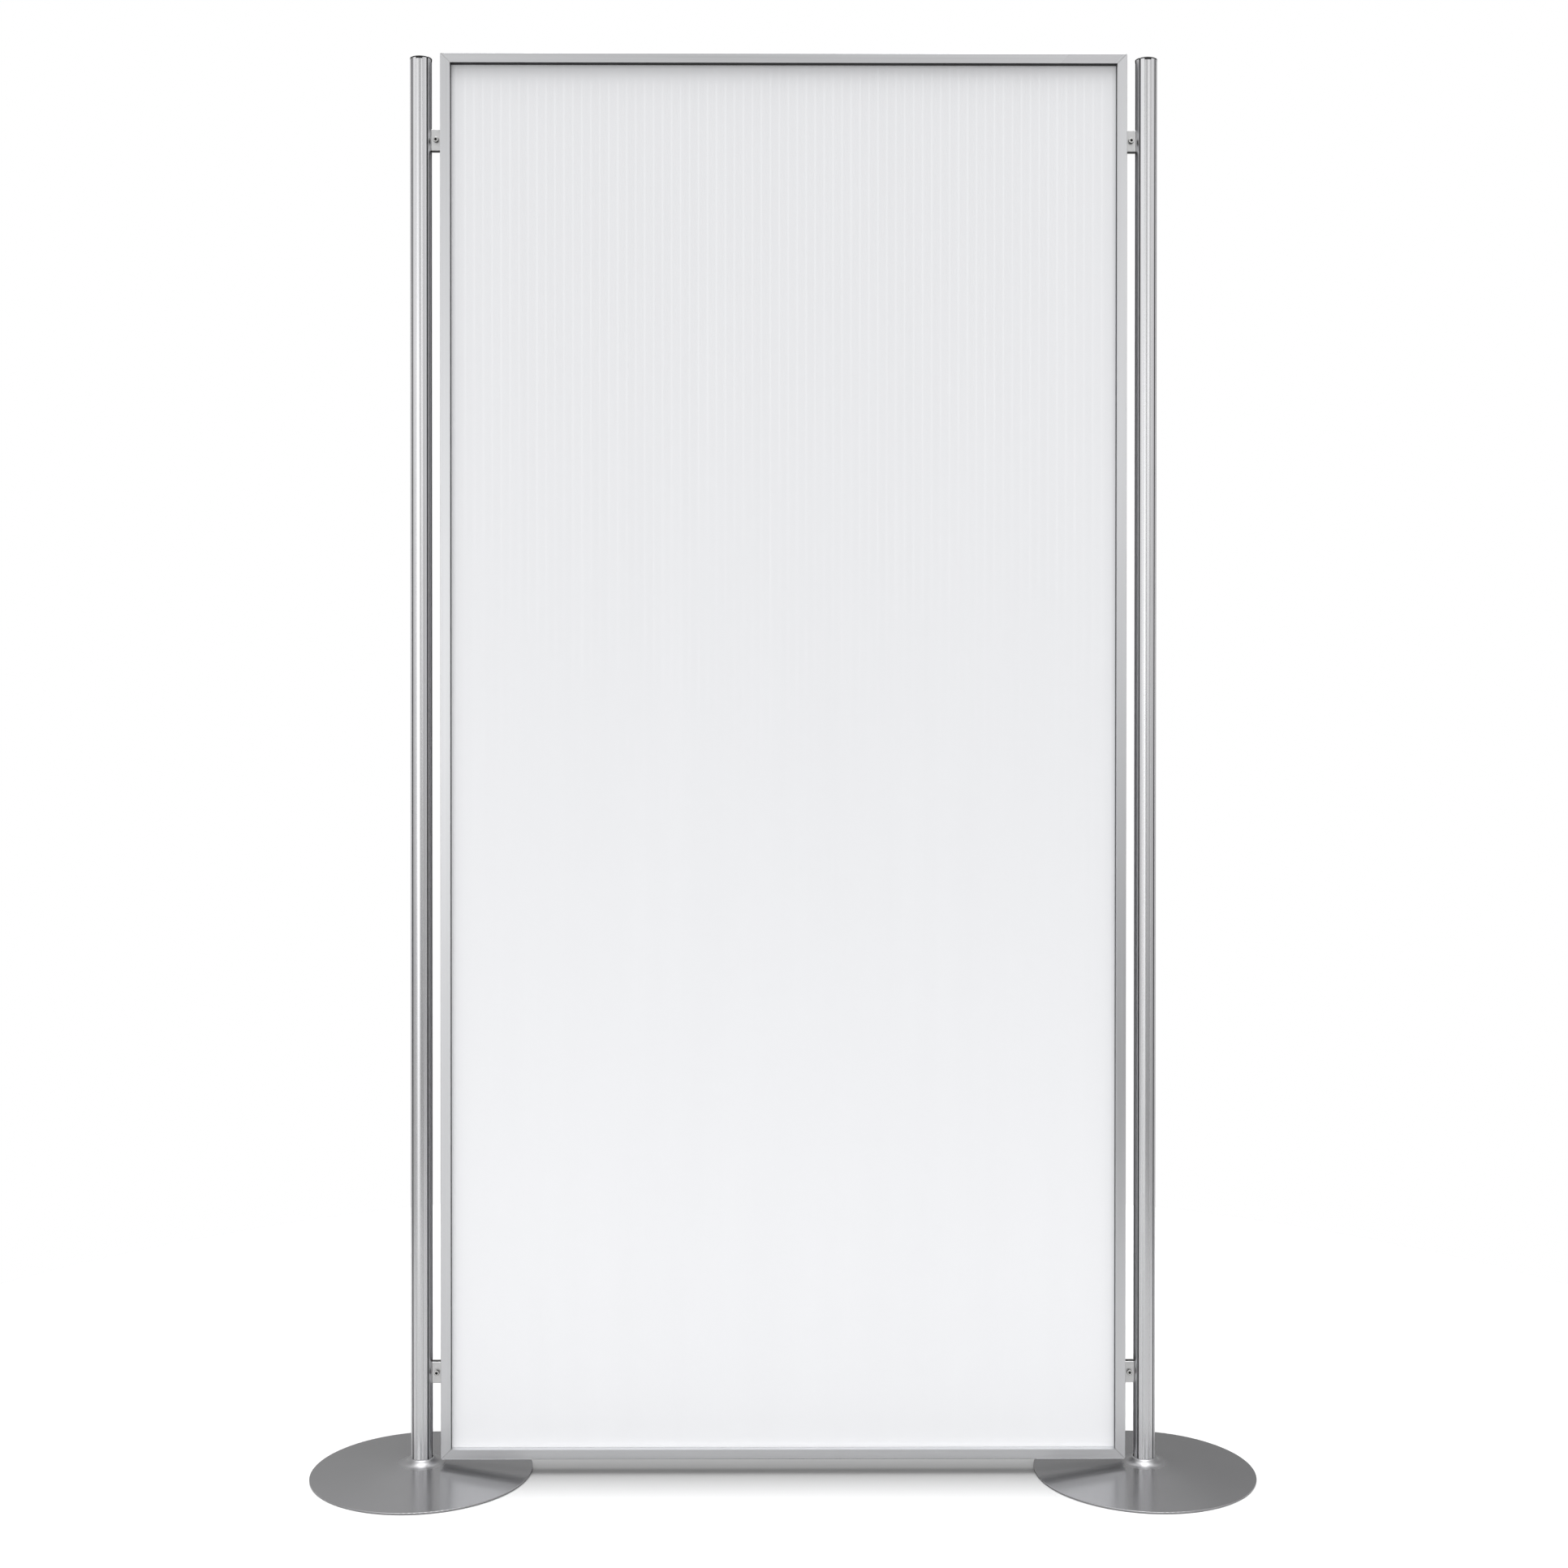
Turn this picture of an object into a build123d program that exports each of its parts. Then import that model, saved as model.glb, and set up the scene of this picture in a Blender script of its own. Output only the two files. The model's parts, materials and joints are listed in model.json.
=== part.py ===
"""Free-standing partition wall: a framed twin-wall panel clamped between two slotted posts on round feet.

X runs along the wall, the front faces -Y, Z is up. The origin is on the floor, midway between the posts.
All sizes are in millimetres.
"""

import os
from math import sqrt

from build123d import *

# Panel frame
PANEL_WIDTH = 878.0
PANEL_HEIGHT = 1800.0
PANEL_BOTTOM = 21.0  # height of the frame's lower edge above the floor
FRAME_DEPTH = 28.0
FACE_WIDTH = 12.5  # width of each member, seen from the front
FRAME_WALL = 1.4
FRAME_EDGE_RADIUS = 0.9  # long outer edges
FRAME_CORNER_RADIUS = 2.2  # outer corners
CHAMBER_INNER_Y = 7.6  # the two hollow chambers lie between this depth and the outer wall
GROOVE_MOUTH = 8.0  # T-groove along the outside of every member
GROOVE_WIDTH = 12.4
GROOVE_DEPTH = 4.4
CHANNEL_WIDTH = 11.8  # glazing channel along the inside of every member
CHANNEL_FLOOR = 5.7  # distance of its floor from the outer face

# Corner keys
KEY_CLEARANCE = 0.2
KEY_LEG = 46.0  # reach of each leg, from the outer corner
MITRE_WEB = 1.6  # thickness of the web that shows between two members
WEB_RECESS = 0.25
KEY_SCREW_RADIUS = 2.0
KEY_SCREW_LENGTH = 5.0
KEY_SCREW_OFFSET = 34.0  # from the outer corner
KEY_SCREW_HEX = 2.0

# Sheet and its seals
SHEET_THICKNESS = 10.0
SHEET_SKIN = 0.55
RIB_THICKNESS = 0.45
RIB_PITCH = 11.5
SHEET_INSET = 6.5  # from the frame's outer face to the sheet's edge
SEAL_GAP = 0.05
SEAL_REACH = 12.2  # the lower seal's lips end this far from the frame's outer face
SEAL_FLANGE_THICKNESS = 0.5
SEAL_FLANGE = {"top": 7.4, "left": 3.8, "right": 3.8}  # how far a seal covers its member's inner face

# Insert plate on the top member
PLATE_LENGTH = 69.0
PLATE_END_GAP = 4.0  # from the mitre, along the member
PLATE_THICKNESS = 0.8
PLATE_CLEARANCE = 0.15

# Posts
POST_SPACING = 931.0  # between the posts' centres
POST_RADIUS = 14.0
POST_BOTTOM = 16.0
POST_TOP = 1815.4
SLOT_MOUTH = 8.4
SLOT_WIDTH = 12.0
SLOT_FLOOR = 7.5  # distance of the slot's floor from the post's axis
SLOT_LIP = 11.5  # distance of the lips' inner faces from the post's axis
DIAGONAL_WIDTH = 2.2
DIAGONAL_FLOOR = 10.7
GROOVE_EDGE_RADIUS = 0.35
BOLT_CHANNEL_RADIUS = 5.0

# Slot cover strips
COVER_CLEARANCE = 0.1
COVER_FACE_RADIUS = 13.75
COVER_FLANGE = 9.8
COVER_FLANGE_THICKNESS = 1.0
COVER_RELIEF_WIDTH = 4.0
COVER_RELIEF_DEPTH = 1.6
COVER_BOTTOM = 16.2

# Post caps
CAP_HEIGHT = 3.2
CAP_DOME_RADIUS = 60.0
CAP_TAB_DROP = 1.5
CAP_TAB_WIDTH = 8.2
CAP_TAB_INNER = 11.7
CAP_PLUG_LENGTH = 14.0

# Round feet
BASE_RADIUS = 141.5
BASE_UNDERSIDE = 0.5
BASE_EDGE_TOP = 2.5
BASE_RIM_RADIUS = 0.5
CONE_TOP = 13.9  # height of the cone where it meets the hub
HUB_SHOULDER = 15.8  # radius at which the hub's flank starts down from its top
HUB_FOOT = 20.5  # radius at which the flank meets the cone
HUB_TOP = 20.2
HUB_SHOULDER_ROUND = 3.0
HUB_FOOT_ROUND = 10.0
SOCKET_CLEARANCE = 0.15
BOLT_RECESS_RADIUS = 16.0
BOLT_RECESS_TOP = 9.0
BOLT_HOLE_RADIUS = 5.3
GRIP_RING_INNER = 124.0
GRIP_RING_OUTER = 134.0
GRIP_RING_TOP = 1.8
GRIP_CLEARANCE = 0.15

# Screws of the feet
WASHER_RADIUS = 14.0
WASHER_THICKNESS = 2.4
BOLT_RADIUS = 4.95
BOLT_HEAD_RADIUS = 8.5
BOLT_HEAD_HEIGHT = 5.0
BOLT_LENGTH = 36.0
BOLT_HEX = 6.0

# Cam locks
LOCK_FROM_END = 109.0  # from the end of the panel to the lock's centre
HOUSING_HEIGHT = 27.5
HOUSING_DEPTH = 9.4
HOUSING_REACH = 12.9  # from the frame to the housing's face at the post
HOUSING_EDGE_RADIUS = 0.8
RIB_INTO_GROOVE = 1.3
CAM_OFFSET = 6.5  # from the frame to the cam's axis
CAM_THROW = 0.6  # eccentricity
CAM_JOURNAL = 2.6
CAM_ECCENTRIC = 1.75
CAM_TAIL = 1.7
CAM_FIT = 0.05
CAM_HEAD_RADIUS = 3.5
CAM_HEAD_HEIGHT = 3.4
CAM_HEAD_GAP = 0.1
CAM_HEX = 3.0
CAM_TAIL_END = 6.4
CLIP_START = 5.0
CLIP_THICKNESS = 0.6
CLIP_GROOVE_RADIUS = 1.3
CLIP_RADIUS = 3.0
CLIP_OPENING = 2.0
CLAW_THICKNESS = 4.4
CLAW_HEIGHT = 10.0
CLAW_CLEARANCE = 0.1
CLAW_BACK = 2.3  # from the frame to the claw's back edge, locked
CLAW_LIP_GAP = 0.05
CLAW_HEAD_WIDTH = 11.2
CLAW_HEAD_THICKNESS = 2.0
WINDOW_HALF_WIDTH = 1.91
WINDOW_HALF_HEIGHT = 2.45
FIXING_OFFSET = 9.5  # of the two fixing screws from the lock's centre
FIXING_RADIUS = 1.5
FIXING_HEAD_RADIUS = 2.75
FIXING_HEAD_HEIGHT = 3.0
FIXING_HEX = 2.5
NUT_PLATE_HEIGHT = 26.0
NUT_PLATE_CLEARANCE = 0.25

# Derived places
HALF_WIDTH = PANEL_WIDTH / 2
PANEL_TOP = PANEL_BOTTOM + PANEL_HEIGHT
PANEL_MIDDLE = PANEL_BOTTOM + PANEL_HEIGHT / 2
POST_X = POST_SPACING / 2
CAM_X = HALF_WIDTH + CAM_OFFSET
LOCK_HEIGHTS = {"upper": PANEL_TOP - LOCK_FROM_END, "lower": PANEL_BOTTOM + LOCK_FROM_END}
SIDES = {"left": -1, "right": 1}
LARGE = 4000.0


def save(shape, node):
    """Write one node's STEP file."""
    export_step(shape, f"parts/{node}.step")


def box_between(x0, x1, y0, y1, z0, z1):
    """An axis-aligned block between two corners."""
    block = Box(x1 - x0, y1 - y0, z1 - z0)
    return Pos((x0 + x1) / 2, (y0 + y1) / 2, (z0 + z1) / 2) * block


def centred_box(inset, depth):
    """A block as deep as given, inset from the panel's outline on its four sides."""
    block = Box(PANEL_WIDTH - 2 * inset, depth, PANEL_HEIGHT - 2 * inset)
    return Pos(0, 0, PANEL_MIDDLE) * block


def ring(outer_inset, inner_inset, y0, y1):
    """A rectangular ring round the panel, between two insets and two depths."""
    depth = y1 - y0
    middle = (y0 + y1) / 2
    return Pos(0, middle, 0) * (centred_box(outer_inset, depth) - centred_box(inner_inset, 2 * depth))


def rod_y(radius, y0, y1, x=0.0, z=0.0):
    """A round rod along Y."""
    rod = Cylinder(radius, y1 - y0, rotation=(90, 0, 0))
    return Pos(x, (y0 + y1) / 2, z) * rod


def rod_x(radius, x0, x1, y=0.0, z=0.0):
    """A round rod along X."""
    rod = Cylinder(radius, x1 - x0, rotation=(0, 90, 0))
    return Pos((x0 + x1) / 2, y, z) * rod


def rod_z(radius, z0, z1):
    """A round rod along Z."""
    return Pos(0, 0, (z0 + z1) / 2) * Cylinder(radius, z1 - z0)


def hexagon_prism(across_flats, length, plane):
    """A hexagonal socket, extruded from a plane along its normal."""
    return extrude(plane * RegularPolygon(across_flats / sqrt(3), 6), length)


# ---------------------------------------------------------------- panel frame


def outer_block():
    """The frame's outer envelope, with rounded corners and rounded long edges."""
    block = centred_box(0, FRAME_DEPTH)
    block = fillet(block.edges().filter_by(Axis.Y), FRAME_CORNER_RADIUS)
    rims = block.faces().filter_by(Axis.Y).edges()
    return fillet(rims, FRAME_EDGE_RADIUS)


def frame_ring():
    """Four members' envelope in one ring, with its outer T-groove and its glazing channel."""
    body = outer_block() - centred_box(FACE_WIDTH, LARGE)
    half_mouth = GROOVE_MOUTH / 2
    half_groove = GROOVE_WIDTH / 2
    body -= ring(-1, FRAME_WALL + 0.1, -half_mouth, half_mouth)
    body -= ring(FRAME_WALL, GROOVE_DEPTH, -half_groove, half_groove)
    body -= centred_box(CHANNEL_FLOOR, CHANNEL_WIDTH)
    return body


def chambers(clearance):
    """The two hollow chambers that run round the frame, shrunk by a clearance."""
    outer = FRAME_WALL + clearance
    inner = FACE_WIDTH - FRAME_WALL - clearance
    near = CHAMBER_INNER_Y + clearance
    far = FRAME_DEPTH / 2 - FRAME_WALL - clearance
    return ring(outer, inner, near, far) + ring(outer, inner, -far, -near)


def mitre_prism(name, gap):
    """The region that belongs to one member, held back from the mitre planes by half a gap."""
    edge = HALF_WIDTH + 50
    reach = edge - gap / sqrt(2)
    depth = PANEL_HEIGHT / 2 + 50
    if name in ("top", "bottom"):
        inner_x = reach - edge
        inner_z = depth - edge
        corners = [(-reach, depth), (reach, depth), (inner_x, inner_z), (-inner_x, inner_z)]
        flip = 1 if name == "top" else -1
        points = [(x, PANEL_MIDDLE + flip * z) for x, z in corners]
    else:
        flip = 1 if name == "right" else -1
        rise = depth - gap / sqrt(2)
        inner_z = rise - edge
        corners = [(edge, rise), (0, inner_z), (0, -inner_z), (edge, -rise)]
        points = [(flip * x, PANEL_MIDDLE + z) for x, z in corners]
    outline = make_face(Polyline([*points, points[0]]))
    return extrude(Plane.XZ * outline, LARGE / 2, both=True)


def plate_prism(clearance):
    """The slanted outline of the insert plate, as deep as its pocket."""
    outer_z = PANEL_TOP + 1
    inner_z = PANEL_TOP - FACE_WIDTH - 1
    slant = outer_z - inner_z
    outer_end = HALF_WIDTH - PLATE_END_GAP - clearance + 1
    outer_start = outer_end - PLATE_LENGTH + 2 * clearance
    points = [
        (outer_start, outer_z),
        (outer_end, outer_z),
        (outer_end - slant, inner_z),
        (outer_start - slant, inner_z),
    ]
    outline = make_face(Polyline([*points, points[0]]))
    front = Plane.XZ.offset(FRAME_DEPTH / 2 - PLATE_THICKNESS)
    return extrude(front * outline, PLATE_THICKNESS + 1)


def key_screw_places():
    """Centres (x, z) of the eight set screws on the frame's back face."""
    places = []
    face_middle = FACE_WIDTH / 2
    for sx in (-1, 1):
        for sz in (-1, 1):
            along_x = (HALF_WIDTH - KEY_SCREW_OFFSET, PANEL_HEIGHT / 2 - face_middle)
            along_z = (HALF_WIDTH - face_middle, PANEL_HEIGHT / 2 - KEY_SCREW_OFFSET)
            for x, z in (along_x, along_z):
                places.append((sx * x, PANEL_MIDDLE + sz * z))
    return places


def key_screw_holes(radius):
    """Holes for the set screws, from the back face into the rear chamber."""
    back = FRAME_DEPTH / 2
    rods = [rod_y(radius, CHAMBER_INNER_Y, back + 1, x, z) for x, z in key_screw_places()]
    return Part() + rods


def frame_members():
    """The four mitred members."""
    hollow = frame_ring() - chambers(0) - key_screw_holes(KEY_SCREW_RADIUS + 0.1)
    for name in ("top", "bottom", "left", "right"):
        member = hollow & mitre_prism(name, MITRE_WEB)
        if name == "top":
            member -= plate_prism(0)
        save(member, f"frame_{name}")


def corner_keys():
    """Four keys, each with legs in both chambers of two members and a web in the mitre."""
    legs = chambers(KEY_CLEARANCE)
    section = frame_ring() & centred_box(WEB_RECESS, FRAME_DEPTH - 2 * WEB_RECESS)
    holes = key_screw_holes(KEY_SCREW_RADIUS)
    for side, sx in SIDES.items():
        for end, sz in (("top", 1), ("bottom", -1)):
            corner = (sx * HALF_WIDTH, 0, PANEL_MIDDLE + sz * PANEL_HEIGHT / 2)
            reach = Pos(*corner) * Box(2 * KEY_LEG, LARGE, 2 * KEY_LEG)
            web_slab = Pos(*corner) * Rot(0, 45 * sx * sz, 0) * Box(MITRE_WEB, 2 * FRAME_DEPTH, 60)
            key = (legs & reach) + (section & web_slab)
            save(key - holes, f"corner_key_{end}_{side}")


def corner_key_screws():
    """Eight set screws with hexagon sockets."""
    screws = []
    end = FRAME_DEPTH / 2 - 0.4
    for x, z in key_screw_places():
        screw = rod_y(KEY_SCREW_RADIUS - 0.02, end - KEY_SCREW_LENGTH, end, x, z)
        mouth = Plane(origin=(x, end + 0.1, z), z_dir=(0, -1, 0))
        screws.append(screw - hexagon_prism(KEY_SCREW_HEX, KEY_SCREW_LENGTH / 2, mouth))
    save(Compound(children=screws), "corner_key_screws")


def twin_wall_sheet():
    """A sheet of two skins joined by upright ribs, open at its top and bottom edges."""
    width = PANEL_WIDTH - 2 * SHEET_INSET
    height = PANEL_HEIGHT - 2 * SHEET_INSET
    cells = int((width - RIB_THICKNESS) / RIB_PITCH)
    cell = Rectangle(RIB_PITCH - RIB_THICKNESS, SHEET_THICKNESS - 2 * SHEET_SKIN)
    section = Rectangle(width, SHEET_THICKNESS)
    section -= [Pos((i - (cells - 1) / 2) * RIB_PITCH, 0) * cell for i in range(cells)]
    base = PANEL_BOTTOM + SHEET_INSET
    save(Pos(0, 0, base) * extrude(section, height), "twin_wall_sheet")


def edge_seals():
    """A U-section seal along each edge of the sheet, mitred at the corners; three have flanges over the frame."""
    sheet_half = SHEET_THICKNESS / 2 + SEAL_GAP
    sheet = centred_box(SHEET_INSET - SEAL_GAP, 2 * sheet_half)
    half_depth = CHANNEL_WIDTH / 2 - SEAL_GAP
    start = CHANNEL_FLOOR + SEAL_GAP
    flange_start = FACE_WIDTH + SEAL_GAP
    flange_end = flange_start + SEAL_FLANGE_THICKNESS
    for name in ("top", "bottom", "left", "right"):
        if name in SEAL_FLANGE:
            half_flange = sheet_half + SEAL_FLANGE[name]
            loop = ring(start, flange_end, -half_depth, half_depth)
            loop += ring(flange_start, flange_end, -half_flange, half_flange)
        else:
            loop = ring(start, SEAL_REACH, -half_depth, half_depth)
        save((loop - sheet) & mitre_prism(name, SEAL_GAP), f"edge_seal_{name}")


def name_plate():
    """The blank insert at the right end of the top member."""
    face = outer_block() - centred_box(FACE_WIDTH, LARGE)
    save(face & plate_prism(PLATE_CLEARANCE), "name_plate")


# ---------------------------------------------------------------- stands


def strip_section(x0, x1, width):
    """A rectangle from x0 to x1, centred on the X axis."""
    return Pos((x0 + x1) / 2, 0) * Rectangle(x1 - x0, width)


def slot_section():
    """One T-slot of the post, opening towards +X."""
    mouth = strip_section(SLOT_LIP - 0.5, POST_RADIUS + 1, SLOT_MOUTH)
    return mouth + strip_section(SLOT_FLOOR, SLOT_LIP, SLOT_WIDTH)


def post_outline():
    """The round outline with its four diagonal grooves."""
    notch_length = 2 * (POST_RADIUS - DIAGONAL_FLOOR)
    notch = Pos(DIAGONAL_FLOOR + notch_length / 2, 0) * Rectangle(notch_length, DIAGONAL_WIDTH)
    outline = Circle(POST_RADIUS)
    outline -= [Rot(0, 0, 45 + 90 * i) * notch for i in range(4)]
    return outline


def post_section():
    """The extrusion's section: outline, four T-slots and the screw channel."""
    section = post_outline() - [Rot(0, 0, 90 * i) * slot_section() for i in range(4)]
    section -= Circle(BOLT_CHANNEL_RADIUS)
    rim = [v for v in section.vertices() if abs(v.center().length - POST_RADIUS) < 0.01]
    return fillet(rim, GROOVE_EDGE_RADIUS)


def post():
    """One post, on its own axis."""
    return Pos(0, 0, POST_BOTTOM) * extrude(post_section(), POST_TOP - POST_BOTTOM)


def slot_cover():
    """A strip that fills the mouth of a slot facing +X and hooks behind its lips."""
    stem_width = SLOT_MOUTH - 2 * COVER_CLEARANCE
    flange_outer = SLOT_LIP - COVER_CLEARANCE / 2
    flange_inner = flange_outer - COVER_FLANGE_THICKNESS
    stem = strip_section(flange_outer - 0.1, POST_RADIUS, stem_width)
    flange = strip_section(flange_inner, flange_outer, COVER_FLANGE)
    relief = strip_section(flange_inner - 1, flange_inner + COVER_RELIEF_DEPTH, COVER_RELIEF_WIDTH)
    section = ((stem & Circle(COVER_FACE_RADIUS)) + flange) - relief
    length = POST_TOP - CAP_TAB_DROP - 0.1 - COVER_BOTTOM
    return Pos(0, 0, COVER_BOTTOM) * extrude(section, length)


def post_cap():
    """A domed cap with four tabs in the slot mouths and a plug in the screw channel."""
    dome = Pos(0, 0, CAP_HEIGHT - CAP_DOME_RADIUS) * Sphere(CAP_DOME_RADIUS)
    disc = extrude(post_outline(), CAP_HEIGHT) & dome
    tab_section = strip_section(CAP_TAB_INNER, POST_RADIUS, CAP_TAB_WIDTH) & Circle(COVER_FACE_RADIUS)
    tab = extrude(tab_section, -CAP_TAB_DROP)
    cap = disc + [Rot(0, 0, 90 * i) * tab for i in range(4)]
    cap += rod_z(BOLT_CHANNEL_RADIUS - 0.05, -CAP_PLUG_LENGTH, 0)
    return Pos(0, 0, POST_TOP) * cap


def base_plate():
    """The round foot: a thin-edged low cone that rises in a soft mound to the post, turned from solid."""
    socket = POST_RADIUS + SOCKET_CLEARANCE
    shoulder = (HUB_SHOULDER, HUB_TOP)
    foot = (HUB_FOOT, CONE_TOP)
    profile = Polyline(
        shoulder,
        foot,
        (BASE_RADIUS, BASE_EDGE_TOP),
        (BASE_RADIUS, BASE_UNDERSIDE),
        (GRIP_RING_OUTER, BASE_UNDERSIDE),
        (GRIP_RING_OUTER, GRIP_RING_TOP),
        (GRIP_RING_INNER, GRIP_RING_TOP),
        (GRIP_RING_INNER, BASE_UNDERSIDE),
        (BOLT_RECESS_RADIUS, BASE_UNDERSIDE),
        (BOLT_RECESS_RADIUS, BOLT_RECESS_TOP),
        (BOLT_HOLE_RADIUS, BOLT_RECESS_TOP),
        (BOLT_HOLE_RADIUS, POST_BOTTOM),
        (socket, POST_BOTTOM),
        (socket, HUB_TOP),
        shoulder,
    )
    face = make_face(profile)
    for corner, radius in ((shoulder, HUB_SHOULDER_ROUND), (foot, HUB_FOOT_ROUND)):
        face = fillet([v for v in face.vertices() if (v.center() - Vector(*corner)).length < 0.01], radius)
    rim = [v for v in face.vertices() if abs(v.X - BASE_RADIUS) < 0.01]
    face = fillet(rim, BASE_RIM_RADIUS)
    return revolve(Plane.XZ * face, Axis.Z)


def grip_ring():
    """The rubber ring in the foot's underside, which stands on the floor."""
    width = GRIP_RING_OUTER - GRIP_RING_INNER - 2 * GRIP_CLEARANCE
    height = GRIP_RING_TOP - 0.05
    section = Pos((GRIP_RING_INNER + GRIP_RING_OUTER) / 2, height / 2) * Rectangle(width, height)
    section = fillet(section.vertices().group_by(Axis.Y)[0], 0.3)
    return revolve(Plane.XZ * section, Axis.Z)


def base_bolt():
    """The low-head screw that draws the post down into the hub."""
    seat = BOLT_RECESS_TOP - WASHER_THICKNESS
    head = rod_z(BOLT_HEAD_RADIUS, seat - BOLT_HEAD_HEIGHT, seat)
    shank = rod_z(BOLT_RADIUS, seat, seat + BOLT_LENGTH)
    mouth = Plane(origin=(0, 0, seat - BOLT_HEAD_HEIGHT - 0.1), z_dir=(0, 0, 1))
    return head + shank - hexagon_prism(BOLT_HEX, 3.1, mouth)


def stands():
    """Both stands."""
    post_shape = post()
    cover = slot_cover()
    cap = post_cap()
    plate = base_plate()
    grip = grip_ring()
    bolt = base_bolt()
    washer = rod_z(WASHER_RADIUS, BOLT_RECESS_TOP - WASHER_THICKNESS, BOLT_RECESS_TOP)
    washer -= rod_z(BOLT_HOLE_RADIUS, 0, POST_BOTTOM)
    for side, sx in SIDES.items():
        place = Pos(sx * POST_X, 0, 0)
        save(place * plate, f"base_plate_{side}")
        save(place * grip, f"base_grip_ring_{side}")
        save(place * washer, f"base_washer_{side}")
        save(place * bolt, f"base_bolt_{side}")
        save(place * post_shape, f"post_{side}")
        save(place * cap, f"post_cap_{side}")
        save(place * Rot(0, 0, -90) * cover, f"slot_cover_front_{side}")
        save(place * Rot(0, 0, 90) * cover, f"slot_cover_back_{side}")


# ---------------------------------------------------------------- cam locks
# Each lock is drawn for the right-hand post, centred on height zero.


def fixing_places():
    """Heights of the two fixing screws."""
    return (-FIXING_OFFSET, FIXING_OFFSET)


def fixing_seat():
    """Where the heads of the fixing screws rest."""
    return HALF_WIDTH + HOUSING_REACH - FIXING_HEAD_HEIGHT - 0.3


def lock_housing():
    """The block between frame and post: claw pocket, cam bores and screw holes."""
    half_depth = HOUSING_DEPTH / 2
    half_height = HOUSING_HEIGHT / 2
    face_x = HALF_WIDTH + HOUSING_REACH
    block = box_between(HALF_WIDTH, face_x, -half_depth, half_depth, -half_height, half_height)
    block = fillet(block.faces().filter_by(Axis.Y).edges(), HOUSING_EDGE_RADIUS)
    half_rib = GROOVE_MOUTH / 2 - 0.1
    rib_end = half_height - 1
    block += box_between(
        HALF_WIDTH - RIB_INTO_GROOVE, HALF_WIDTH + 1, -half_rib, half_rib, -rib_end, rib_end
    )
    half_claw = CLAW_THICKNESS / 2 + CLAW_CLEARANCE
    half_pocket = CLAW_HEIGHT / 2 + CLAW_CLEARANCE
    pocket_back = HALF_WIDTH + CLAW_BACK - 0.3
    block -= box_between(pocket_back, face_x + 1, -half_claw, half_claw, -half_pocket, half_pocket)
    block -= rod_y(CAM_JOURNAL + CAM_FIT, -half_depth - 1, 0, CAM_X)
    block -= rod_y(CAM_TAIL + CAM_FIT, 0, half_depth + 1, CAM_X)
    for z in fixing_places():
        block -= rod_x(FIXING_RADIUS + 0.15, HALF_WIDTH - 5, face_x, 0, z)
        block -= rod_x(FIXING_HEAD_RADIUS + 0.15, fixing_seat(), face_x + 1, 0, z)
    return block


def lock_cam():
    """The cam screw: socket head, front journal, eccentric and grooved tail, locked position."""
    front = -HOUSING_DEPTH / 2
    half_claw = CLAW_THICKNESS / 2 + CLAW_CLEARANCE
    head_front = front - CAM_HEAD_GAP - CAM_HEAD_HEIGHT
    head = rod_y(CAM_HEAD_RADIUS, head_front, front - CAM_HEAD_GAP, CAM_X)
    head = fillet(head.edges().group_by(Axis.Y)[0], 0.5)
    cam = head + rod_y(CAM_JOURNAL, front - CAM_HEAD_GAP, -half_claw, CAM_X)
    cam += rod_y(CAM_ECCENTRIC, -half_claw, half_claw, CAM_X - CAM_THROW)
    cam += rod_y(CAM_TAIL, half_claw, CAM_TAIL_END, CAM_X)
    groove = rod_y(CAM_TAIL + 1, CLIP_START, CLIP_START + CLIP_THICKNESS, CAM_X)
    groove -= rod_y(CLIP_GROOVE_RADIUS, CLIP_START - 1, CLIP_START + 2, CAM_X)
    mouth = Plane(origin=(CAM_X, head_front - 0.1, 0), z_dir=(0, 1, 0))
    return cam - groove - hexagon_prism(CAM_HEX, CAM_HEAD_HEIGHT - 0.6, mouth)


def lock_clip():
    """The open retaining ring in the cam's groove."""
    start = CLIP_START + 0.02
    end = CLIP_START + CLIP_THICKNESS - 0.02
    clip = rod_y(CLIP_RADIUS, start, end, CAM_X) - rod_y(CLIP_GROOVE_RADIUS + 0.02, start - 1, end + 1, CAM_X)
    half = CLIP_OPENING / 2
    return clip - box_between(CAM_X - half, CAM_X + half, start - 1, end + 1, -CLIP_RADIUS - 1, 0)


def lock_claw():
    """The claw in its locked place: a plate with the cam's window and a T-head behind the lips."""
    half = CLAW_THICKNESS / 2
    half_height = CLAW_HEIGHT / 2
    head_start = POST_X - SLOT_LIP + CLAW_LIP_GAP
    head_end = head_start + CLAW_HEAD_THICKNESS
    half_head = CLAW_HEAD_WIDTH / 2
    window_x = CAM_X - CAM_THROW
    claw = box_between(HALF_WIDTH + CLAW_BACK, head_end, -half, half, -half_height, half_height)
    claw += box_between(head_start, head_end, -half_head, half_head, -half_height, half_height)
    return claw - box_between(
        window_x - WINDOW_HALF_WIDTH,
        window_x + WINDOW_HALF_WIDTH,
        -half - 1,
        half + 1,
        -WINDOW_HALF_HEIGHT,
        WINDOW_HALF_HEIGHT,
    )


def nut_plate():
    """The plate in the frame's outer groove that takes the fixing screws."""
    half_width = GROOVE_WIDTH / 2 - NUT_PLATE_CLEARANCE
    half_height = NUT_PLATE_HEIGHT / 2
    outer = HALF_WIDTH - FRAME_WALL
    inner = HALF_WIDTH - GROOVE_DEPTH + NUT_PLATE_CLEARANCE
    plate = box_between(inner, outer, -half_width, half_width, -half_height, half_height)
    for z in fixing_places():
        plate -= rod_x(FIXING_RADIUS, inner - 1, outer + 1, 0, z)
    return plate


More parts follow.
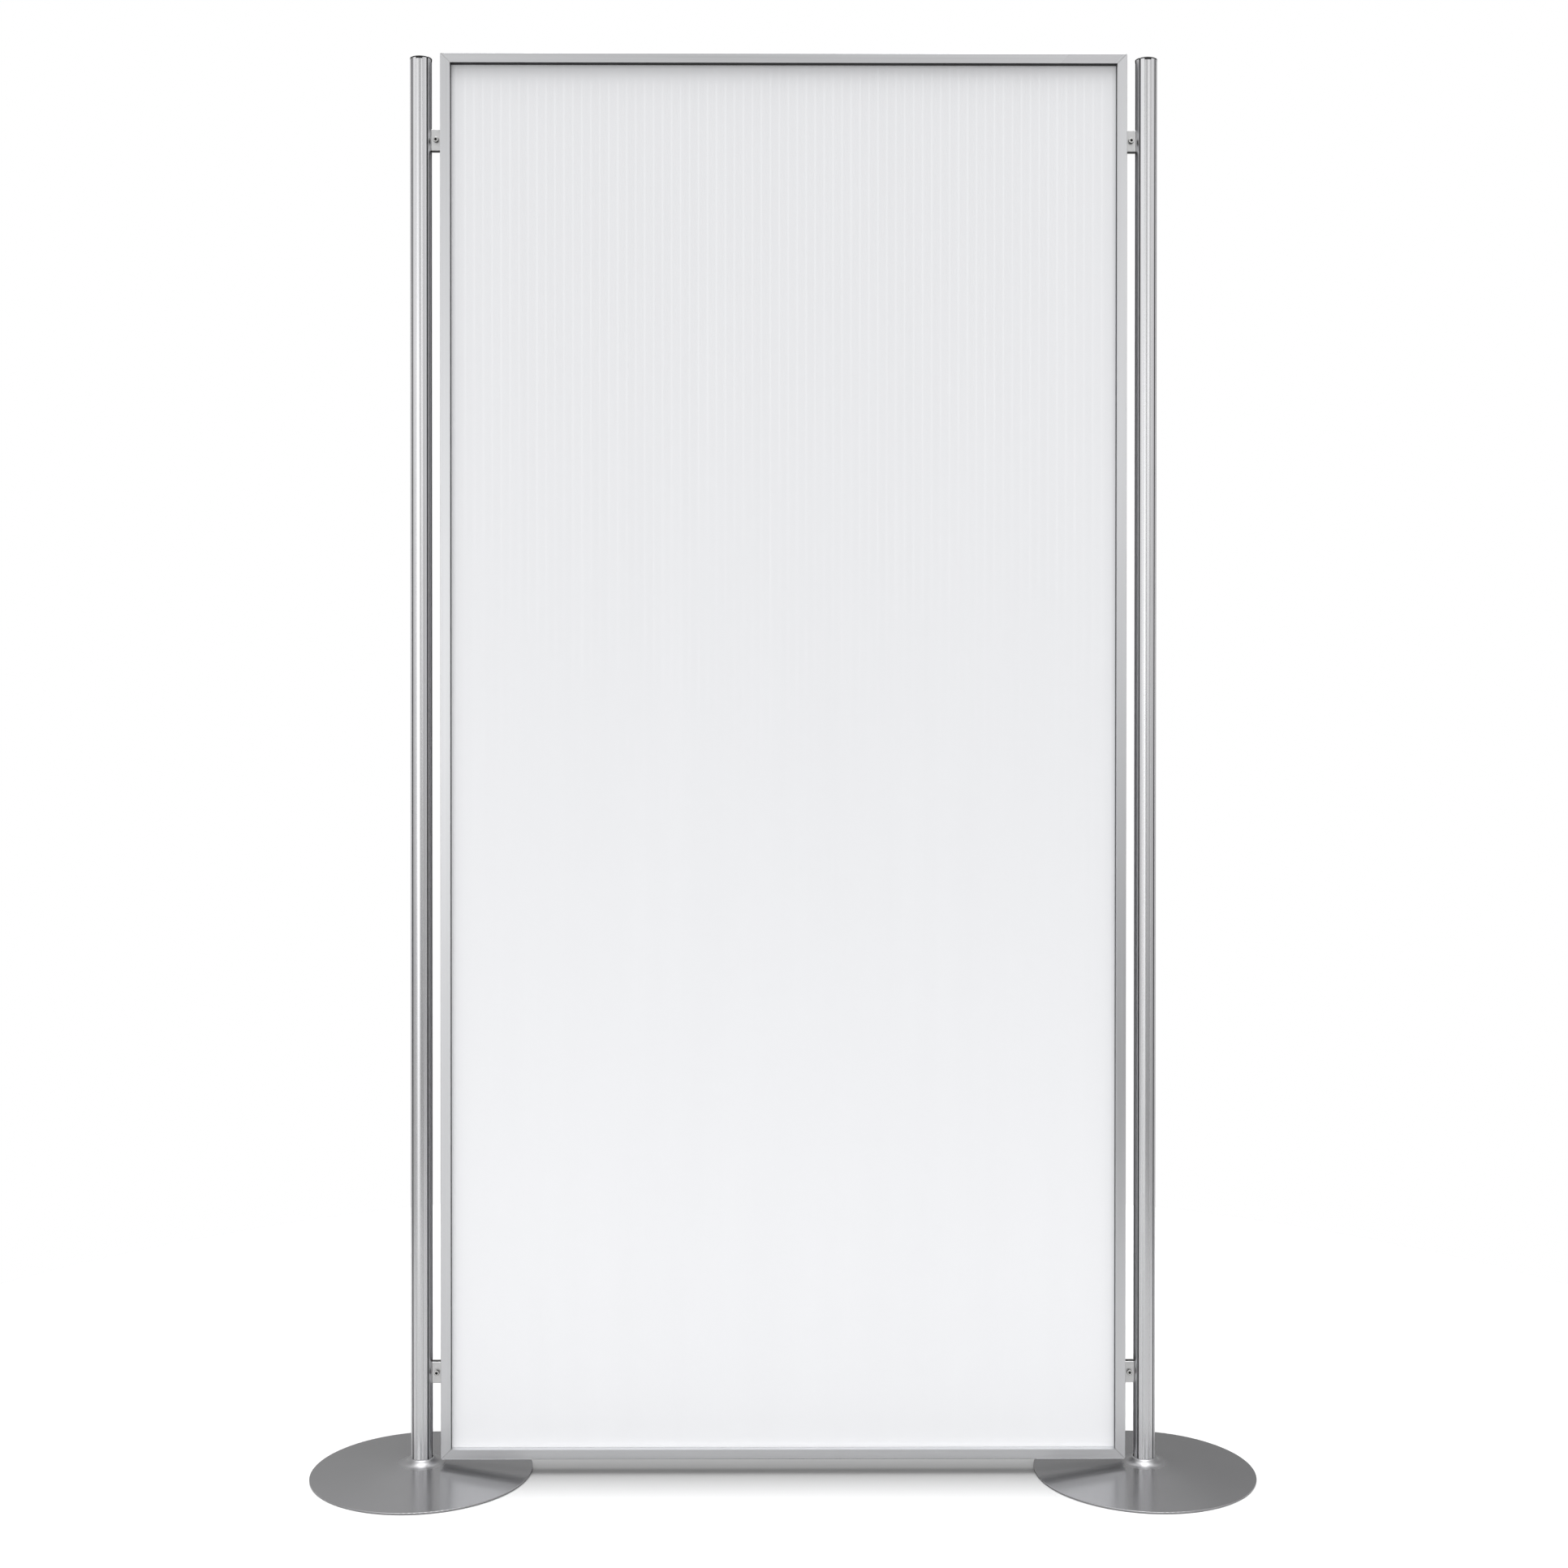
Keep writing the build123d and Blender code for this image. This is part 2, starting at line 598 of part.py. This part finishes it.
def fixing_screw(z):
    """One socket-head screw through the housing into the nut plate."""
    seat = fixing_seat()
    tip = HALF_WIDTH - GROOVE_DEPTH + NUT_PLATE_CLEARANCE
    head = rod_x(FIXING_HEAD_RADIUS, seat, seat + FIXING_HEAD_HEIGHT, 0, z)
    shank = rod_x(FIXING_RADIUS - 0.02, tip, seat, 0, z)
    mouth = Plane(origin=(seat + FIXING_HEAD_HEIGHT + 0.1, 0, z), z_dir=(-1, 0, 0))
    return head + shank - hexagon_prism(FIXING_HEX, 1.6, mouth)


def lock_places():
    """Name, side and height of each lock."""
    for level, height in LOCK_HEIGHTS.items():
        for side, sx in SIDES.items():
            yield f"{level}_{side}", sx, height


def placed(shape, sx, height):
    """Mirror a right-hand lock piece where the lock is on the left, and lift it to its height."""
    turned = shape if sx > 0 else mirror(shape, Plane.YZ)
    return Pos(0, 0, height) * turned


def locks():
    """Four cam locks with their fixings."""
    pieces = {
        "lock_housing": lock_housing(),
        "lock_cam": lock_cam(),
        "lock_clip": lock_clip(),
        "lock_claw": lock_claw(),
    }
    plate = nut_plate()
    screws = [fixing_screw(z) for z in fixing_places()]
    plates = []
    all_screws = []
    for name, sx, height in lock_places():
        for piece, shape in pieces.items():
            save(placed(shape, sx, height), f"{piece}_{name}")
        plates.append(placed(plate, sx, height))
        all_screws += [placed(screw, sx, height) for screw in screws]
    save(Compound(children=plates), "lock_nut_plates")
    save(Compound(children=all_screws), "lock_fixing_screws")


def build():
    """Write every node."""
    os.makedirs("parts", exist_ok=True)
    frame_members()
    corner_keys()
    corner_key_screws()
    twin_wall_sheet()
    edge_seals()
    name_plate()
    stands()
    locks()


build()
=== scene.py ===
"""Looks of the free-standing partition wall: materials, light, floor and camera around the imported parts."""
import json
from math import cos, radians, sin

import bmesh
import bpy
from mathutils import Euler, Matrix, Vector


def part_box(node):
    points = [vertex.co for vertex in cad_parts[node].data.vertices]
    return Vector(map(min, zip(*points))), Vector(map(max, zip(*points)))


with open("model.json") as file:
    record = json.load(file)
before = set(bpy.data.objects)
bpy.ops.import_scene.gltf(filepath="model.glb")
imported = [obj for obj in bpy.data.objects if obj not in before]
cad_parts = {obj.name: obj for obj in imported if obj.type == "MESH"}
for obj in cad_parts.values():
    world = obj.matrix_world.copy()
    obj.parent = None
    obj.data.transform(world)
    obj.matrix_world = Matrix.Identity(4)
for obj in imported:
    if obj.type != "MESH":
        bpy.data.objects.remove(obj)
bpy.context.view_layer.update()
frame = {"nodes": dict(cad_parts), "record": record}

MM = 0.001

# Camera: about 2.5 m in front of the wall, a little over half its height. Its turn is in degrees.
CAMERA_PLACE = (-0.0105, -2.550, 0.956)
CAMERA_TURN = (90 - 0.356, -0.022, -0.249)
CAMERA_LENS = 45.50
CAMERA_SENSOR = 36.0
CAMERA_SHIFT = -0.0264

FLOOR_RADIUS = 1.6
FLOOR_ALBEDO_SEEN = 0.97  # as the camera sees it
FLOOR_ALBEDO_LIT = 0.50  # as it lights and is mirrored in the wall
FLOOR_SHADE = 0.55  # the painted shade's tone right at the wall, against 1 away from it
SHADE_REACH = 0.15  # how far the shade goes in front of the wall and behind it
SHADE_ENDS = (0.40, 0.55)  # it fades out between these distances from the wall's middle
SKY_BASE = 0.265

# Twin-wall sheet: its ribs stand at X = RIB_PITCH * (n + 1/2).
RIB_PITCH = 11.5 * MM
RIB_WIDTH = 1.9 * MM
RIB_PALER = 0.075  # how much paler a rib shows than the skin between ribs
RIB_HEIGHTS = (0.2, 1.75)  # painted light: the rib lines grow clearer towards the top between these heights
SHEET_PAINTED_GLOW = 0.09  # painted glow: an emission that stands in for daylight coming through the sheet from behind

# How dark the painted shade makes the recessed faces, the cam's socket and head side, and the lock blocks'
# top and bottom faces, against 1 for the open ones
GROOVE_PAINTED_SHADE = 0.35
CAM_PAINTED_SHADE = 0.10
END_FACE_PAINTED_SHADE = 0.10

# Where a painted shade or a change of finish starts and ends, as distances from the axis of a post or a cam
POST_SKIN = (12.9 * MM, 13.5 * MM)
HUB_FOOT = (22.0 * MM, 34.0 * MM)
CAM_SOCKET = (1.70 * MM, 1.80 * MM)
CAM_HEAD = (3.15 * MM, 3.40 * MM)

END_FACE_SHADE_TILT = (0.80, 0.95)  # how upright the normal is where the painted shade on the top and bottom faces starts and is full
HUB_DULLNESS = 0.16  # how much rougher the hub is than the disc


# ---------------------------------------------------------------- node helpers

class Nodes:
    """A node tree, with helpers that add and join its nodes."""

    def __init__(self, tree):
        self.tree = tree

    def node(self, kind, **settings):
        made = self.tree.nodes.new(kind)
        for key, value in settings.items():
            setattr(made, key, value)
        return made

    def link(self, source, target):
        self.tree.links.new(source, target)

    def math(self, operation, first, second=0.0, third=0.0):
        made = self.node("ShaderNodeMath", operation=operation)
        for socket, value in zip(made.inputs, (first, second, third)):
            if isinstance(value, (int, float)):
                socket.default_value = value
            else:
                self.link(value, socket)
        return made.outputs["Value"]

    def spread(self, value, low, high, start=0.3, end=0.7, **settings):
        """The value's span from start to end, stretched to run from low to high."""
        made = self.node("ShaderNodeMapRange", **settings)
        self.link(value, made.inputs["Value"])
        for key, number in (("From Min", start), ("From Max", end), ("To Min", low), ("To Max", high)):
            made.inputs[key].default_value = number
        return made.outputs["Result"]

    def parts(self, vector):
        """The outputs X, Y and Z of a vector."""
        apart = self.node("ShaderNodeSeparateXYZ")
        self.link(vector, apart.inputs["Vector"])
        return apart.outputs

    def distance(self, across, along):
        """Length of the line whose two legs are given."""
        square = self.math("MULTIPLY_ADD", across, across, self.math("POWER", along, 2.0))
        return self.math("SQRT", square)


class Surface(Nodes):
    """One Principled material, with helpers that add texture nodes in the object's frame, in metres."""

    def __init__(self, name, colour, roughness, **inputs):
        self.material = bpy.data.materials.new(name)
        self.material.use_nodes = True
        super().__init__(self.material.node_tree)
        self.shader = self.tree.nodes["Principled BSDF"]
        self.shader.inputs["Base Color"].default_value = (*colour, 1)
        self.shader.inputs["Roughness"].default_value = roughness
        for key, value in inputs.items():
            self.shader.inputs[key.replace("_", " ")].default_value = value
        self.place = self.node("ShaderNodeTexCoord").outputs["Object"]
        self.colour = colour
        self.normal = None

    def stretched(self, scale):
        """The place, scaled differently along X, Y and Z."""
        mapping = self.node("ShaderNodeMapping")
        mapping.inputs["Scale"].default_value = scale
        self.link(self.place, mapping.inputs["Vector"])
        return mapping.outputs["Vector"]

    def noise(self, scale, detail=3.0, roughness=0.55):
        """Soft noise from 0 to 1; scale is in features per metre, or a triple of them."""
        made = self.node("ShaderNodeTexNoise")
        vector = self.place
        if isinstance(scale, tuple):
            vector, scale = self.stretched(scale), 1.0
        self.link(vector, made.inputs["Vector"])
        made.inputs["Scale"].default_value = scale
        made.inputs["Detail"].default_value = detail
        made.inputs["Roughness"].default_value = roughness
        return made.outputs["Fac"]

    def from_post_axis(self):
        """Distance from the nearer post's axis, in metres."""
        place = self.parts(self.place)
        across = self.math("SUBTRACT", self.math("ABSOLUTE", place["X"]), middle("post_right")[0])
        return self.distance(across, place["Y"])

    def from_cam_axis(self):
        """Distance from the nearest cam's axis, in metres."""
        side, _, upper = middle("lock_clip_upper_right")
        lower = middle("lock_clip_lower_right")[2]
        place = self.parts(self.place)
        across = self.math("SUBTRACT", self.math("ABSOLUTE", place["X"]), side)
        from_middle = self.math("SUBTRACT", place["Z"], (upper + lower) / 2)
        up = self.math("SUBTRACT", self.math("ABSOLUTE", from_middle), (upper - lower) / 2)
        return self.distance(across, up)

    def shade(self, amount):
        """Multiplies the base colour by a number that varies over the surface."""
        mix = self.node("ShaderNodeMix", data_type="RGBA", blend_type="MULTIPLY")
        mix.inputs["Factor"].default_value = 1.0
        mix.inputs["A"].default_value = (*self.colour, 1)
        grey = self.node("ShaderNodeCombineColor")
        for channel in ("Red", "Green", "Blue"):
            self.link(amount, grey.inputs[channel])
        self.link(grey.outputs["Color"], mix.inputs["B"])
        self.link(mix.outputs["Result"], self.shader.inputs["Base Color"])

    def gloss(self, roughness):
        self.link(roughness, self.shader.inputs["Roughness"])

    def relief(self, height, depth):
        """Bump whose height runs from 0 to 1 over depth metres; several can be laid on each other."""
        bump = self.node("ShaderNodeBump")
        bump.inputs["Strength"].default_value = 1.0
        bump.inputs["Distance"].default_value = depth
        self.link(height, bump.inputs["Height"])
        if self.normal:
            self.link(self.normal, bump.inputs["Normal"])
        self.normal = bump.outputs["Normal"]
        self.link(self.normal, self.shader.inputs["Normal"])


def middle(name):
    """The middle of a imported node's box."""
    return [(low + high) / 2 for low, high in zip(*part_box(name))]


# ---------------------------------------------------------------- materials

def anodised(name, colour, roughness, along, paint_groove_shade=False):
    """Extruded, etched and anodised aluminium: die lines run along the bar, over a fine matt etch."""
    surface = Surface(name, colour, roughness, Metallic=1.0)
    lines = tuple(3.0 if axis == along else 900.0 for axis in "XYZ")
    bands = tuple(1.2 if axis == along else 160.0 for axis in "XYZ")
    die_lines = surface.noise(lines, detail=2.0)
    wide_bands = surface.noise(bands, detail=2.0)
    etch = surface.noise(2600.0, detail=2.0)
    clouds = surface.noise(5.0, detail=2.0)
    band_tone = surface.spread(wide_bands, 0.985, 1.015)
    tone = surface.math("MULTIPLY", band_tone, surface.spread(clouds, 0.99, 1.01))
    if paint_groove_shade:
        # painted shade: the grooves and T-slots darken as they go in from the post's skin
        groove_painted_shade = surface.spread(surface.from_post_axis(), GROOVE_PAINTED_SHADE, 1.0, *POST_SKIN)
        tone = surface.math("MULTIPLY", tone, groove_painted_shade)
    surface.shade(tone)
    surface.gloss(surface.spread(die_lines, roughness - 0.03, roughness + 0.03))
    surface.relief(die_lines, 0.004 * MM)
    surface.relief(etch, 0.003 * MM)
    return surface.material


def powder_coat():
    """Smooth grey metallic paint with a fine orange peel, glossy on the disc and duller on the hub."""
    surface = Surface("base_paint", (0.44, 0.44, 0.45), 0.22, Metallic=0.9)
    peel = surface.noise(420.0, detail=2.5, roughness=0.45)
    grain = surface.noise(2400.0, detail=1.0)
    dust = surface.noise(14.0, detail=4.0)
    surface.shade(surface.spread(grain, 0.97, 1.03))
    dull_hub = surface.spread(surface.from_post_axis(), HUB_DULLNESS, 0.0, *HUB_FOOT)
    surface.gloss(surface.math("ADD", surface.spread(dust, 0.19, 0.24), dull_hub))
    surface.relief(peel, 0.004 * MM)
    return surface.material


def moulded(name, colour, roughness, grain_depth):
    """Moulded or extruded plastic and rubber with a fine matt grain."""
    surface = Surface(name, colour, roughness)
    grain = surface.noise(2800.0, detail=2.0)
    patches = surface.noise(40.0, detail=3.0)
    surface.shade(surface.spread(patches, 0.94, 1.06))
    surface.gloss(surface.spread(patches, roughness - 0.04, roughness + 0.04))
    surface.relief(grain, grain_depth * MM)
    return surface.material


def plated(name, colour, roughness, scratch=(60.0, 60.0, 1400.0)):
    """Plated steel or cast alloy with fine handling marks."""
    surface = Surface(name, colour, roughness, Metallic=1.0)
    marks = surface.noise(scratch, detail=3.0)
    patches = surface.noise(180.0, detail=3.0)
    surface.shade(surface.spread(patches, 0.94, 1.04))
    surface.gloss(surface.spread(marks, roughness - 0.05, roughness + 0.06))
    surface.relief(marks, 0.003 * MM)
    return surface.material


def cam_screw():
    """Nickel plate, with painted shade in the hexagon socket and round the head's side."""
    surface = Surface("cam_steel", (0.66, 0.66, 0.65), 0.24, Metallic=1.0)
    from_axis = surface.from_cam_axis()
    # painted shade in the hexagon socket and round the head's side
    socket = surface.spread(from_axis, CAM_PAINTED_SHADE, 1.0, *CAM_SOCKET)
    rim_painted_shade = surface.spread(from_axis, 1.0, CAM_PAINTED_SHADE, *CAM_HEAD)
    marks = surface.noise((700.0, 700.0, 700.0), detail=3.0)
    surface.shade(surface.math("MULTIPLY", socket, rim_painted_shade))
    surface.gloss(surface.spread(marks, 0.20, 0.30))
    surface.relief(marks, 0.003 * MM)
    return surface.material


def lock_block():
    """Satin alloy extrusion, sawn off at the top and bottom, with painted shade on its top and bottom faces.
    """
    surface = Surface("lock_alloy", (0.72, 0.72, 0.72), 0.34, Metallic=1.0)
    normal = surface.parts(surface.node("ShaderNodeTexCoord").outputs["Normal"])
    # painted shade: faces that look up or down are darkened, by how upright their normal is
    end_face_painted_shade = surface.spread(surface.math("ABSOLUTE", normal["Z"]), 1.0, END_FACE_PAINTED_SHADE, *END_FACE_SHADE_TILT)
    lines = surface.noise((1100.0, 1100.0, 60.0), detail=3.0)
    patches = surface.noise(180.0, detail=3.0)
    surface.shade(surface.math("MULTIPLY", end_face_painted_shade, surface.spread(patches, 0.94, 1.04)))
    surface.gloss(surface.spread(lines, 0.29, 0.40))
    surface.relief(lines, 0.003 * MM)
    return surface.material


def opal_sheet():
    """Translucent opal twin-wall sheet: each rib inside shows as a soft paler line through the skin; the
    lines grow clearer towards the top as painted light, and a weak emission is a painted glow.
    """
    surface = Surface("opal_sheet", (0.93, 0.935, 0.955), 0.28, Specular_IOR_Level=0.4)
    # painted glow for the light that comes through the sheet
    surface.shader.inputs["Emission Color"].default_value = (0.97, 0.98, 1.0, 1)
    surface.shader.inputs["Emission Strength"].default_value = SHEET_PAINTED_GLOW
    place = surface.parts(surface.place)
    cell = surface.math("FRACT", surface.math("MULTIPLY", place["X"], 1 / RIB_PITCH))
    off_rib = surface.math("ABSOLUTE", surface.math("SUBTRACT", cell, 0.5))
    from_rib = surface.math("MULTIPLY", off_rib, RIB_PITCH)
    rib = surface.spread(from_rib, 1.0, 0.0, 0.15 * RIB_WIDTH, 0.75 * RIB_WIDTH)
    # painted light: the rib lines are fainter low down and clearer towards the top
    rib_painted_light = surface.spread(place["Z"], 0.1, 1.0, *RIB_HEIGHTS)
    line = surface.math("MULTIPLY", rib, rib_painted_light)
    waves = surface.noise((40.0, 40.0, 1.5), detail=2.0)
    surface.shade(surface.math("MULTIPLY_ADD", line, RIB_PALER, surface.spread(waves, 0.985, 1.0)))
    surface.relief(surface.spread(from_rib, 0.0, 1.0, 0.0, 0.5 * RIB_PITCH), 0.03 * MM)
    return surface.material


def finishes():
    """The finish of each material slot, and the variants that some nodes wear."""
    silver = (0.77, 0.775, 0.79)
    return {
        "base_paint": powder_coat(),
        "grip_rubber": moulded("grip_rubber", (0.018, 0.018, 0.018), 0.75, 0.02),
        "zinc_steel": plated("zinc_steel", (0.60, 0.60, 0.58), 0.30),
        "bright_steel": plated("bright_steel", (0.70, 0.69, 0.67), 0.22),
        "cam_steel": cam_screw(),
        "spring_steel": plated("spring_steel", (0.12, 0.12, 0.12), 0.45),
        "post_aluminium": anodised("post_aluminium", (0.83, 0.83, 0.845), 0.28, "Z", paint_groove_shade=True),
        "frame_aluminium": anodised("frame_aluminium", silver, 0.31, "Z"),
        "frame_aluminium_x": anodised("frame_aluminium_x", silver, 0.31, "X"),
        "plate_aluminium": anodised("plate_aluminium", (0.70, 0.70, 0.715), 0.40, "X"),
        "key_alloy": plated("key_alloy", (0.62, 0.62, 0.63), 0.50, (700.0, 700.0, 700.0)),
        "lock_alloy": lock_block(),
        "cap_plastic": moulded("cap_plastic", (0.012, 0.012, 0.013), 0.45, 0.012),
        "cover_strip": anodised("cover_strip", (0.80, 0.80, 0.815), 0.25, "Z"),
        # painted shade: the near-black seal under the top member stands in for the shade there, and the other
        # edges wear a lighter grey copy of it
        "seal_rubber": moulded("seal_rubber", (0.022, 0.022, 0.023), 0.75, 0.01),
        "seal_painted_side_shade": moulded("seal_painted_side_shade", (0.09, 0.09, 0.094), 0.65, 0.01),
        "opal_sheet": opal_sheet(),
    }


def dress(materials):
    """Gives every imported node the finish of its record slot, or the variant of it that suits the node."""
    slots = {part["node"]: part["material_slot"] for part in frame["record"]["subparts"]}
    variants = {"frame_top": "frame_aluminium_x", "frame_bottom": "frame_aluminium_x"}
    for name in frame["nodes"]:
        # the side and bottom seals get the lighter painted-shade copy
        if name.startswith("edge_seal_") and name != "edge_seal_top":
            variants[name] = "seal_painted_side_shade"
        if name.startswith("lock_cam_"):
            variants[name] = "cam_steel"
    for name, node in frame["nodes"].items():
        for slot in node.material_slots:
            slot.material = materials[variants.get(name, slots[name])]


# ---------------------------------------------------------------- studio

def add_camera():
    camera = bpy.data.objects.new("camera", bpy.data.cameras.new("camera"))
    camera.location = CAMERA_PLACE
    camera.rotation_euler = Euler([radians(angle) for angle in CAMERA_TURN])
    camera.data.lens = CAMERA_LENS
    camera.data.sensor_width = CAMERA_SENSOR
    camera.data.shift_y = CAMERA_SHIFT
    bpy.context.scene.collection.objects.link(camera)
    bpy.context.scene.camera = camera


class Sky(Nodes):
    """The light of the studio: even grey with soft bright patches. The camera sees plain white instead."""

    def __init__(self):
        world = bpy.data.worlds.new("studio")
        bpy.context.scene.world = world
        world.use_nodes = True
        super().__init__(world.node_tree)
        self.tree.nodes.clear()
        self.direction = self.node("ShaderNodeTexCoord").outputs["Generated"]

    def patch(self, azimuth, elevation, spread, strength):
        """A soft patch. Angles are in degrees; azimuth 0 is in front of the wall, 90 on its right."""
        turn, rise = radians(azimuth), radians(elevation)
        distance = self.node("ShaderNodeVectorMath", operation="DISTANCE")
        self.link(self.direction, distance.inputs[0])
        distance.inputs[1].default_value = (sin(turn) * cos(rise), -cos(turn) * cos(rise), sin(rise))
        square = self.math("POWER", distance.outputs["Value"], 2.0)
        fall = self.math("MULTIPLY", square, -0.5 / radians(spread) ** 2)
        return self.math("MULTIPLY", self.math("EXPONENT", fall), strength)

    def finish(self, patches, base):
        """Adds the patches up over the even base, and joins the tree to the world's output."""
        light = patches[0]
        for patch in patches[1:]:
            light = self.math("ADD", light, patch)
        light = self.math("ADD", light, base)
        seen = self.node("ShaderNodeBackground")
        seen.inputs["Color"].default_value = (1, 1, 1, 1)
        lit = self.node("ShaderNodeBackground")
        self.link(light, lit.inputs["Strength"])
        mix = self.node("ShaderNodeMixShader")
        self.link(self.node("ShaderNodeLightPath").outputs["Is Camera Ray"], mix.inputs["Fac"])
        self.link(lit.outputs["Background"], mix.inputs[1])
        self.link(seen.outputs["Background"], mix.inputs[2])
        self.link(mix.outputs["Shader"], self.node("ShaderNodeOutputWorld").inputs["Surface"])


def add_sky():
    sky = Sky()
    patches = [
        sky.patch(azimuth=-21, elevation=1, spread=9.5, strength=2.6),
        sky.patch(azimuth=18, elevation=10, spread=7.5, strength=1.9),
        sky.patch(azimuth=-55, elevation=18, spread=18.0, strength=1.0),
        sky.patch(azimuth=60, elevation=18, spread=18.0, strength=0.8),
        sky.patch(azimuth=0, elevation=74, spread=16.0, strength=6.8),
        sky.patch(azimuth=-120, elevation=3, spread=17.0, strength=0.6),
        sky.patch(azimuth=120, elevation=-5, spread=17.0, strength=0.5),
        sky.patch(azimuth=180, elevation=68, spread=15.0, strength=2.2),
        sky.patch(azimuth=-160, elevation=30, spread=20.0, strength=0.24),
    ]
    sky.finish(patches, SKY_BASE)


def painted_contact_shade(nodes):
    """Painted shade on the floor, as a factor on its tone: FLOOR_SHADE along the wall's foot, rising softly
    to 1 around it.
    """
    place = nodes.parts(nodes.node("ShaderNodeTexCoord").outputs["Object"])
    off_wall = nodes.math("ABSOLUTE", place["Y"])
    off_middle = nodes.math("ABSOLUTE", place["X"])
    soft = {"interpolation_type": "SMOOTHSTEP"}
    depth = nodes.spread(off_wall, 1.0 - FLOOR_SHADE, 0.0, 0.0, SHADE_REACH, **soft)
    width = nodes.spread(off_middle, 1.0, 0.0, *SHADE_ENDS, **soft)
    return nodes.math("SUBTRACT", 1.0, nodes.math("MULTIPLY", depth, width))


def add_floor():
    """A wide pale floor, lit until it is white, with the wall's shadow and a soft painted shade on it."""
    mesh = bpy.data.meshes.new("floor")
    outline = bmesh.new()
    bmesh.ops.create_circle(outline, cap_ends=True, radius=FLOOR_RADIUS, segments=96)
    outline.to_mesh(mesh)
    outline.free()
    floor = bpy.data.objects.new("floor", mesh)
    bpy.context.scene.collection.objects.link(floor)
    material = bpy.data.materials.new("floor")
    material.use_nodes = True
    nodes = Nodes(material.node_tree)
    nodes.tree.nodes.clear()
    seen = nodes.node("ShaderNodeLightPath").outputs["Is Camera Ray"]
    albedo = nodes.spread(seen, FLOOR_ALBEDO_LIT, FLOOR_ALBEDO_SEEN, 0.0, 1.0)
    diffuse = nodes.node("ShaderNodeBsdfDiffuse")
    nodes.link(nodes.math("MULTIPLY", albedo, painted_contact_shade(nodes)), diffuse.inputs["Color"])
    nodes.link(diffuse.outputs["BSDF"], nodes.node("ShaderNodeOutputMaterial").inputs["Surface"])
    mesh.materials.append(material)


dress(finishes())
add_camera()
add_sky()
add_floor()

scene = bpy.context.scene
scene.view_settings.view_transform = "Standard"
scene.view_settings.look = "None"
